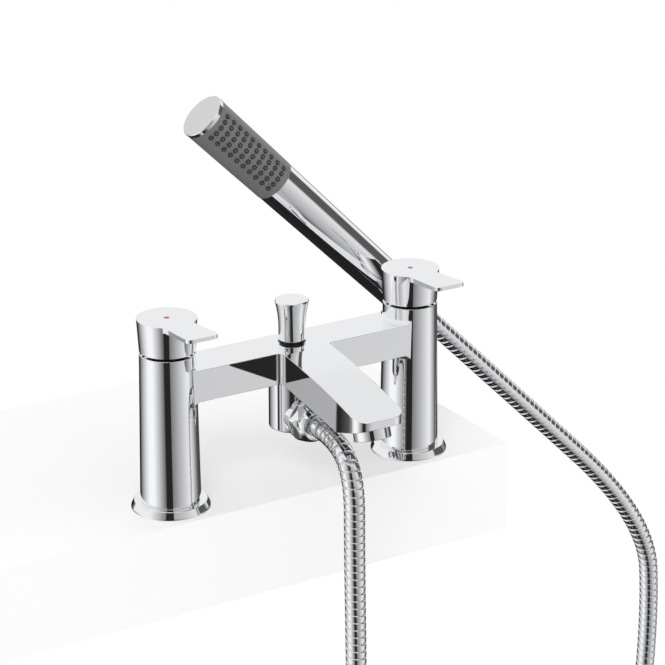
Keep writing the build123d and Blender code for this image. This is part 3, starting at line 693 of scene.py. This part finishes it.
outlet_ferrule = ferrule("outlet_ferrule_turned", outlet_at, forward, 9.7, 26.8, 32.0, 39.0)
place(outlet_ferrule, "mixer", "chrome", "outlet_ferrule")
print("ferrule corners:", len(outlet_ferrule.data.vertices))

# %% Aerator
aerator_tilt = radians(18.0)
aerator_at = (0, -94.5, 62.7 + (94.5 - 82.0) * tan(aerator_tilt))
aerator_way = (0, -sin(aerator_tilt), -cos(aerator_tilt))
aerator = turned(
    "aerator_housing_turned",
    [
        (8.5, -4.8),
        (10.3, -4.8),
        (10.3, 0),
        (11.75, 0),
        (11.75, 7.0, 0.4),
        (7.3, 7.0, 0.3),
        (7.3, 5.8),
        (8.5, 5.8),
    ],
    aerator_at,
    aerator_way,
)
place(aerator, "mixer", "chrome", "aerator_housing")
print("aerator leans", round(degrees(aerator_tilt), 1), "degrees")

# %% [markdown]
# ## Handset
#
# The handset is one long taper in four materials: a satin end cap, a thin chrome rim, the grey
# spray sleeve and the chrome tube. Its axis leans at about 45 degrees. The nozzles are little
# rubber cups in five rows of ten, made once as a turned shape and copied round the sleeve.

# %% Handset pieces
cap_at = Vector((-35.6, 50.0, 236.0))
incline, yaw = radians(44.8), radians(5.3)
handset_way = Vector((cos(incline) * cos(yaw), -cos(incline) * sin(yaw), -sin(incline)))
handset_front = Vector((-sin(yaw), -cos(yaw), 0))
handset_length, head, taper = 197.0, 15.6, 2.35
rim_end, sleeve_start, sleeve_end, tube_step = 3.2, 3.25, 70.0, 0.25


def handset_r(s):
    return head - taper * s / handset_length


end_cap = turned(
    "handset_end_cap_turned",
    [(0, 0), (15.0, 0, 0.25), (15.0, 1.0), (11.4, 1.0), (11.4, 4.0), (0, 4.0)],
    cap_at,
    handset_way,
)
place(end_cap, "handset", "satin_cap", "handset_end_cap")
rim_piece = turned(
    "handset_rim_turned",
    [
        (15.05, 0.25),
        (15.25, 0.25, 0.08),
        (handset_r(0), 0.75, 0.2),
        (handset_r(rim_end), rim_end, 0.15),
        (12.9, rim_end),
        (12.9, 7.0),
        (11.45, 7.0),
        (11.45, 1.0),
        (15.05, 1.0),
    ],
    cap_at,
    handset_way,
)
place(rim_piece, "handset", "chrome", "handset_rim")
sleeve = turned(
    "spray_sleeve_turned",
    [
        (12.95, sleeve_start),
        (handset_r(sleeve_start), sleeve_start, 0.15),
        (handset_r(sleeve_end), sleeve_end, 0.2),
        (12.95, sleeve_end),
    ],
    cap_at,
    handset_way,
)
place(sleeve, "handset", "spray_grey", "spray_sleeve")
tube_bore = handset_r(handset_length) - tube_step - 1.6
tube = turned(
    "handset_tube_turned",
    [
        (tube_bore, 64.0),
        (12.9, 64.0),
        (12.9, sleeve_end),
        (handset_r(sleeve_end) - tube_step, sleeve_end, 0.15),
        (handset_r(handset_length) - tube_step, handset_length, 0.4),
        (tube_bore, handset_length),
    ],
    cap_at,
    handset_way,
)
place(tube, "handset", "chrome", "handset_tube")
for piece in (end_cap, rim_piece, sleeve, tube):
    piece.visible_glossy = False
print("handset leans", round(degrees(incline), 1), "degrees")


# %% Nozzles
nozzle_rows, nozzles_per_row = 5, 10
nozzle_profile = [(0, 0.35), (0.62, 0.35), (0.8, 0.78), (1.3, 0.82), (1.68, 0.45), (1.72, -0.2)]
nozzle_steps = 20
first_nozzle, nozzle_pitch = 8.3, 6.13
field_angle, row_spacing = 3.5, 16.5


def nozzle_field(name, profile):
    shape = bmesh.new()
    for row in range(nozzle_rows):
        row_angle = radians(field_angle + row_spacing * (row - (nozzle_rows - 1) / 2))
        outward = Matrix.Rotation(-row_angle, 3, handset_way) @ handset_front
        beside = handset_way.cross(outward)
        for column in range(nozzles_per_row):
            s = first_nozzle + nozzle_pitch * column
            root = cap_at + handset_way * s + outward * handset_r(s)
            rings = []
            for r, h in profile:
                ring = []
                for step in range(nozzle_steps if r else 1):
                    angle = 2 * pi * step / nozzle_steps
                    spoke = handset_way * cos(angle) + beside * sin(angle)
                    ring.append(shape.verts.new((root + outward * h + spoke * r) * mm))
                rings.append(ring)
            for ring, following in zip(rings, rings[1:]):
                for step in range(nozzle_steps):
                    after = (step + 1) % nozzle_steps
                    if len(ring) == 1:
                        shape.faces.new((ring[0], following[step], following[after]))
                    else:
                        shape.faces.new((ring[step], following[step], following[after], ring[after]))
            shape.faces.new(rings[-1])
    bmesh.ops.recalc_face_normals(shape, faces=shape.faces)
    mesh = bpy.data.meshes.new(name)
    shape.to_mesh(mesh)
    shape.free()
    return link(name, mesh)


nozzles = nozzle_field("spray_nozzles", nozzle_profile)
place(nozzles, "handset", "spray_grey", finish=nozzle_grey, sharpest=50)
nozzle_tips = nozzle_field("spray_nozzle_tips", [(0, 0.8), (0.36, 0.78), (0.46, 0.6), (0.46, 0.3)])
place(nozzle_tips, "handset", "spray_grey", sharpest=50)
for piece in (nozzles, nozzle_tips):
    piece.visible_glossy = False
print("nozzles:", nozzle_rows * nozzles_per_row)

# %% [markdown]
# ## Conical nut
#
# The handset drops into its holder by the conical nut at the end of the hose.

# %% Conical nut and its ferrule
cone_start, cone_end = 197.5, 228.0
cone_nut = turned(
    "cone_nut_turned",
    [
        (10.35, cone_start),
        (12.6, cone_start, 0.5),
        (9.6, cone_end, 0.5),
        (7.25, cone_end),
        (7.25, cone_end - 4.0),
        (8.6, cone_end - 4.0),
        (8.6, cone_start + 13.6),
        (10.35, cone_start + 13.6),
    ],
    cap_at,
    handset_way,
)
place(cone_nut, "hose_cone", "chrome", "cone_nut")
cone_ferrule = ferrule(
    "cone_ferrule_turned", cap_at, handset_way, 8.5, cone_end - 5.6, cone_end - 1.1, cone_end + 5.9
)
place(cone_ferrule, "hose_cone", "chrome", "cone_ferrule")
print("conical nut is", cone_end - cone_start, "mm long")

# %% [markdown]
# ## Hose
#
# A metal shower hose is a strip wound into a helix, folded so that each turn hooks the next.
# It is modelled as a tube whose radius rises and falls along a helix: at each step along the
# line, the phase of the rib depends on the distance and on the angle round the tube. The line
# itself is a NURBS curve through the listed control points, read back as a fine polyline.

# %% Hose line
hose_points = [
    (0, -32, 45),
    (0, -56, 45),
    (0, -75.6, 25.4),
    (0, -75.9, -22),
    (0, -78.6, -104),
    (1.4, -78.2, -205),
    (6, -77, -318),
    (84, -53.2, -412),
    (216, -13.4, -424),
    (304.5, 13.1, -330),
    (318.4, 17.5, -197),
    (311.0, 18.6, -110.2),
]
hose_socket, last_run = 226.9, 85.0
hose_end = cap_at + handset_way * hose_socket
hose_points += [tuple(hose_end + handset_way * last_run), tuple(hose_end)]

line = bpy.data.curves.new("hose_line", "CURVE")
line.dimensions = "3D"
spline = line.splines.new("NURBS")
spline.points.add(len(hose_points) - 1)
for point, at in zip(spline.points, hose_points):
    point.co = (*(Vector(at) * mm), 1.0)
spline.order_u = 3
spline.use_endpoint_u = True
spline.resolution_u = 40
line_object = link("hose_line", line)
bpy.context.view_layer.update()
line_mesh = bpy.data.meshes.new_from_object(
    line_object.evaluated_get(bpy.context.evaluated_depsgraph_get())
)
line_places = [vertex.co.copy() for vertex in line_mesh.vertices]
bpy.data.objects.remove(line_object)
if (line_places[0] - Vector(hose_points[0]) * mm).length > 0.001:
    line_places.reverse()
hose_length = sum((b - a).length for a, b in zip(line_places, line_places[1:]))
print("hose line:", len(line_places), "points,", round(hose_length, 4), "m")

# %% Hose ribs
rib_pitch = 5.05
hose_steps = 32
plain_end, plain_r = 7.0, 5.95
rib_profile = [
    (0.0, 6.05),
    (0.12, 6.1),
    (0.15, 6.5),
    (0.18, 6.66),
    (0.24, 6.7),
    (0.55, 6.7),
    (0.86, 6.7),
    (0.92, 6.66),
    (0.95, 6.5),
    (0.98, 6.1),
]


def stations_along(places, spacing):
    """Places at an even spacing along a polyline, each with an untwisted pair of cross axes."""
    total = sum((b - a).length for a, b in zip(places, places[1:]))
    count = round(total / spacing)
    found, passed, i = [], 0.0, 0
    for k in range(count + 1):
        target = total * k / count
        while i < len(places) - 2 and passed + (places[i + 1] - places[i]).length < target:
            passed += (places[i + 1] - places[i]).length
            i += 1
        found.append(places[i] + (places[i + 1] - places[i]).normalized() * (target - passed))
    across = Vector((1, 0, 0))
    stations = []
    for k, at in enumerate(found):
        way = (found[min(k + 1, count)] - found[max(k - 1, 0)]).normalized()
        across = (across - way * across.dot(way)).normalized()
        stations.append((at, across.copy(), way.cross(across)))
    return stations, total / mm


def wound_tube(name, places):
    """A grid whose rows follow the helix, so that each groove runs cleanly round the tube."""
    stations, total = stations_along(places, 0.5 * mm)

    def point(s, angle, r):
        share = min(max(s / total, 0), 1) * (len(stations) - 1)
        i = min(int(share), len(stations) - 2)
        a, b = stations[i], stations[i + 1]
        at, across, beside = (a[n].lerp(b[n], share - i) for n in range(3))
        return at + (across * cos(angle) + beside * sin(angle)) * r * mm

    rows = len(rib_profile)
    ribs = int(total / rib_pitch) + 2
    shape = bmesh.new()
    grid, inside = [], []
    for rib in range(-1, ribs):
        for phase, rib_r in rib_profile:
            for step in range(hose_steps):
                s = (rib + phase + step / hose_steps) * rib_pitch
                plain = s < plain_end or s > total - plain_end
                held = min(max(s, 0), total)
                angle = -2 * pi * step / hose_steps
                grid.append(shape.verts.new(point(held, angle, plain_r if plain else rib_r)))
                inside.append(0 < s < total)
    turn_rows = rows * hose_steps
    for i in range(len(grid)):
        step = i % hose_steps
        beside = i + 1 if step < hose_steps - 1 else i + 1 - hose_steps + turn_rows
        corners = (i, beside, beside + hose_steps, i + hose_steps)
        if corners[2] < len(grid) and corners[3] < len(grid) and any(inside[c] for c in corners):
            shape.faces.new([grid[c] for c in corners])
    bmesh.ops.remove_doubles(shape, verts=shape.verts, dist=0.000002)
    bmesh.ops.delete(shape, geom=[v for v in shape.verts if not v.link_faces], context="VERTS")
    bmesh.ops.holes_fill(shape, edges=shape.edges, sides=0)
    bmesh.ops.recalc_face_normals(shape, faces=shape.faces)
    mesh = bpy.data.meshes.new(name)
    shape.to_mesh(mesh)
    print(name, "open edges:", sum(1 for edge in shape.edges if len(edge.link_faces) != 2))
    shape.free()
    return link(name, mesh), [station[0] for station in stations]


hose, hose_path = wound_tube("shower_hose_wound", line_places)
dress(hose, "hose_chrome")
smooth(hose, 75)
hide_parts("shower_hose")
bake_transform(hose)
print("hose path points:", len(hose_path[::5]))

# %% [markdown]
# ## Diverter spring
#
# Under the bridge a coil spring pulls the diverter's stem down again. The solid is a plain
# sleeve that holds its place, so the wire is wound here: a helix whose end turns lie flat. In the
# real mixer, pulling the knob presses the spring together against the seat above it. This coil
# keeps one length.

# %% Diverter spring
spring_low, spring_high = 46.1, 61.9
spring_turns, wire_r, coil_r = 5.5, 0.6, 7.95


def coil_place(share):
    """A point on the coil: a slow rise at both ends, and an even one between."""
    flat = 0.75 / spring_turns
    climb = min(max((share - flat) / (1 - 2 * flat), 0), 1)
    angle = 2 * pi * spring_turns * share
    reach = spring_high - spring_low - 2 * wire_r
    return Vector((coil_r * cos(angle), coil_r * sin(angle), spring_low + wire_r + reach * climb)) * mm


def wire_along(name, places, radius, sides):
    stations, _ = stations_along(places, 1.0 * mm)
    shape = bmesh.new()
    rings = []
    for at, across, beside in stations:
        turns = [2 * pi * side / sides for side in range(sides)]
        spokes = [across * cos(a) + beside * sin(a) for a in turns]
        rings.append([shape.verts.new(at + spoke * radius * mm) for spoke in spokes])
    for ring, following in zip(rings, rings[1:]):
        for side in range(sides):
            after = (side + 1) % sides
            shape.faces.new((ring[side], ring[after], following[after], following[side]))
    shape.faces.new(rings[0])
    shape.faces.new(rings[-1])
    bmesh.ops.recalc_face_normals(shape, faces=shape.faces)
    mesh = bpy.data.meshes.new(name)
    shape.to_mesh(mesh)
    shape.free()
    return link(name, mesh)


coil = wire_along("diverter_spring_wound", [coil_place(k / 400) for k in range(401)], wire_r, 12)
place(coil, "mixer", slot_of_node["diverter_spring"], "diverter_spring", sharpest=50)
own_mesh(coil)
print("spring turns:", spring_turns)

# %% [markdown]
# ## Studio
#
# Chrome shows the room it stands in. The photographer's room was white with a few dark
# screens: they make the black band down the middle of each pillar and the thin dark edges.
# Here the world itself is that room. Camera rays see plain white, matt surfaces get an even
# light, and only mirror rays see the screens, as bands by compass direction and height.

# %% World with screens for mirror rays
world = bpy.data.worlds.new("studio")
bpy.context.scene.world = world
world.use_nodes = True
world_nodes, world_links = world.node_tree.nodes, world.node_tree.links
world_nodes.clear()


def math_node(operation, *values):
    node = world_nodes.new("ShaderNodeMath")
    node.operation = operation
    for socket, value in zip(node.inputs, values):
        if isinstance(value, (int, float)):
            socket.default_value = value
        else:
            world_links.new(value, socket)
    return node.outputs[0]


def bands(value, stops):
    """A ramp of greys over 0 to 1: stops are (place, brightness)."""
    ramp = world_nodes.new("ShaderNodeValToRGB")
    elements = ramp.color_ramp.elements
    while len(elements) < len(stops):
        elements.new(0.5)
    for element, (at, level) in zip(elements, stops):
        element.position = at
        element.color = (level, level, level * 1.01, 1)
    world_links.new(value, ramp.inputs["Fac"])
    return ramp.outputs["Color"]


def blended(share, low, high):
    mix = world_nodes.new("ShaderNodeMix")
    mix.data_type = "RGBA"
    world_links.new(share, mix.inputs[0])
    for socket, value in ((mix.inputs[6], low), (mix.inputs[7], high)):
        if isinstance(value, tuple):
            socket.default_value = value
        else:
            world_links.new(value, socket)
    return mix.outputs[2]


compass = world_nodes.new("ShaderNodeTexCoord")
split = world_nodes.new("ShaderNodeSeparateXYZ")
world_links.new(compass.outputs["Generated"], split.inputs[0])
way_x, way_y, way_z = split.outputs
from_front = radians(238.4 - 180)
turn_angle = math_node("SUBTRACT", math_node("ARCTAN2", way_y, way_x), from_front)
turn_share = math_node("FRACT", math_node("DIVIDE", turn_angle, 2 * pi))


def by_width(stops):
    """Stops given by where they show across an upright cylinder, from -1 at its left edge."""
    return [((asin(max(-1, min(1, p))) * 2 + pi) / (2 * pi), level) for p, level in stops]


black_cloth = 0.02

# A bright window at the left, a dark stand before the camera and a soft panel at the right
low_room = bands(
    turn_share,
    by_width(
        [
            (-0.95, black_cloth),
            (-0.65, 1.0),
            (-0.5, 1.0),
            (-0.1, 0.1),
            (-0.1, black_cloth),
            (0.1, black_cloth),
            (0.1, 0.2),
            (0.7, 0.9),
            (0.9, 0.1),
            (1.0, black_cloth),
        ]
    ),
)
# Higher up: white walls, the same stand, and one dark screen at the right
high_room = bands(
    turn_share,
    by_width(
        [
            (-0.5, 0.9),
            (-0.1, 0.2),
            (-0.1, black_cloth),
            (0.1, black_cloth),
            (0.1, 0.4),
            (0.65, 0.8),
            (0.7, 0.1),
            (0.9, 0.1),
            (0.92, 0.9),
        ]
    ),
)
upper_room = bands(
    turn_share,
    by_width([(0.48, 0.85), (0.5, 0.05), (0.93, 0.05), (0.96, 0.85)]),
)
ground = (0.015, 0.015, 0.016, 1)


def rise(value, low, high):
    spread = world_nodes.new("ShaderNodeMapRange")
    spread.interpolation_type = "SMOOTHSTEP"
    spread.inputs["From Min"].default_value = low
    spread.inputs["From Max"].default_value = high
    world_links.new(value, spread.inputs["Value"])
    return spread.outputs["Result"]


room = blended(rise(way_z, -0.06, -0.01), low_room, high_room)
room = blended(rise(way_z, -0.93, -0.6), ground, room)
room = blended(rise(way_z, 0.56, 0.64), room, upper_room)
room = blended(rise(way_z, 0.93, 0.97), room, (0.9, 0.9, 0.91, 1))

rays = world_nodes.new("ShaderNodeLightPath")
plain_light = (0.78, 0.78, 0.79, 1)
seen = blended(rays.outputs["Is Glossy Ray"], plain_light, room)
seen = blended(rays.outputs["Is Camera Ray"], seen, (1, 1, 1, 1))
background = world_nodes.new("ShaderNodeBackground")
world_links.new(seen, background.inputs["Color"])
output = world_nodes.new("ShaderNodeOutputWorld")
world_links.new(background.outputs[0], output.inputs["Surface"])
print("studio nodes:", len(world_nodes))


# %% [markdown]
# ## Deck and lamps
#
# The mixer stands on a plain white deck with a deep front edge, and the threaded tails go down
# into it. It is much wider and deeper than the mixer. Its front edge lies behind the hose and
# its right-hand end stops short of it, so the hose hangs free on both sides. The deck glows a
# little, so that it nearly runs into the white backdrop, and still takes the mixer's shadow.

# %% Deck
deck_low, deck_high = (-400, -30, -62), (150, 200, -0.02)
deck_glow, deck_colour = 0.26, (0.8, 0.8, 0.8, 1)


def white_deck():
    material = bpy.data.materials.new("white deck")
    material.use_nodes = True
    tree = material.node_tree
    tree.nodes.clear()
    glow = tree.nodes.new("ShaderNodeEmission")
    glow.inputs["Color"].default_value = (deck_glow, deck_glow, deck_glow, 1)
    matt = tree.nodes.new("ShaderNodeBsdfDiffuse")
    matt.inputs["Color"].default_value = deck_colour
    both = tree.nodes.new("ShaderNodeAddShader")
    end = tree.nodes.new("ShaderNodeOutputMaterial")
    tree.links.new(glow.outputs[0], both.inputs[0])
    tree.links.new(matt.outputs[0], both.inputs[1])
    tree.links.new(both.outputs[0], end.inputs["Surface"])
    return material


def block(name, low, high):
    shape = bmesh.new()
    bmesh.ops.create_cube(shape, size=1.0)
    low, high = Vector(low) * mm, Vector(high) * mm
    for vertex in shape.verts:
        vertex.co = [low[i] + (vertex.co[i] + 0.5) * (high[i] - low[i]) for i in range(3)]
    mesh = bpy.data.meshes.new(name)
    shape.to_mesh(mesh)
    shape.free()
    return link(name, mesh)


deck = block("deck", deck_low, deck_high)
deck.data.materials.append(white_deck())
deck.visible_diffuse = False
deck.visible_shadow = False
deck.visible_glossy = False
print("deck:", deck_low, deck_high)

# %% Lamps
def soft_lamp(name, at, size, power):
    data = bpy.data.lights.new(name, "AREA")
    data.shape, data.size, data.energy = "DISK", size, power
    lamp = bpy.data.objects.new(name, data)
    bpy.context.scene.collection.objects.link(lamp)
    lamp.location = at
    lamp.rotation_euler = (Vector((0, 0, 0.1)) - Vector(at)).to_track_quat("-Z", "Y").to_euler()
    lamp.visible_glossy = False
    return lamp


soft_lamp("key", (-1.2, -1.2, 1.6), 0.8, 9)
soft_lamp("fill", (1.4, -0.8, 0.8), 0.8, 3)
print("lamps:", len(bpy.data.lights))
